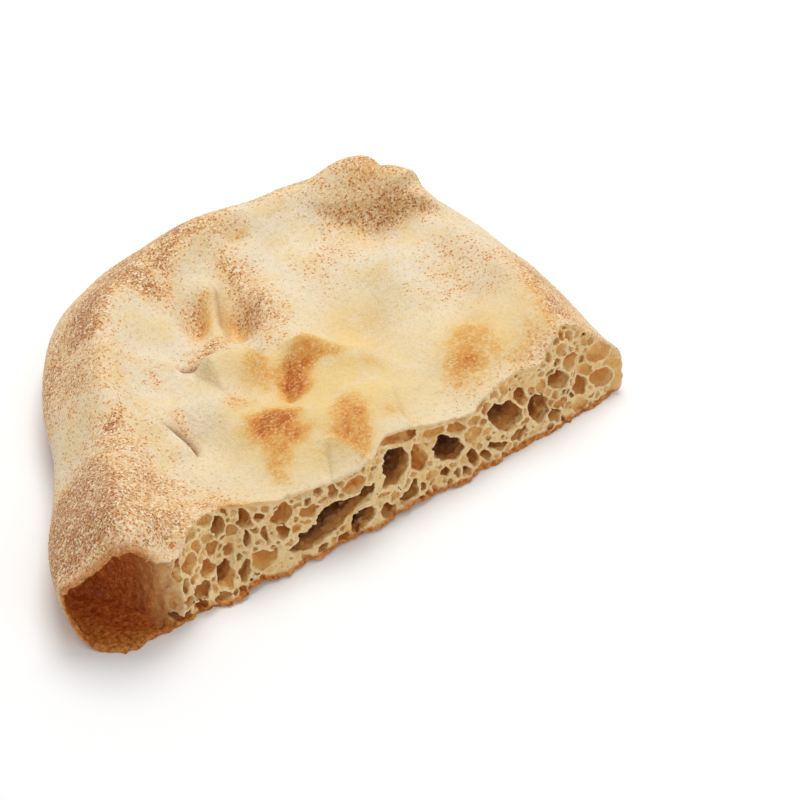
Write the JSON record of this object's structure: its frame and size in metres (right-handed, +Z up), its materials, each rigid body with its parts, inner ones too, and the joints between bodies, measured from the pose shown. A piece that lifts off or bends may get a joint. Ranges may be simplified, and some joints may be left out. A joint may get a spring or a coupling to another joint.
{
  "type": "pinsa half",
  "caption": "Half of a plain oval pinsa flatbread broken across, with a raised rim, a dimpled top, a burst corner blister and open crumb on the broken side.",
  "frame": {"origin": "on the surface that the bread lies on, under the middle of its box", "axes": "+X along the broken side from the burst blister to the other end, +Y from the broken side into the bread, +Z up"},
  "size_m": [0.2039, 0.1404, 0.0385],
  "materials": {
    "baked_dough": "matte floured crust, golden to brown on the high spots, pale open crumb on the broken side"
  },
  "bodies": {
    "root": {"pinsa": "baked_dough"}
  },
  "joints": []
}
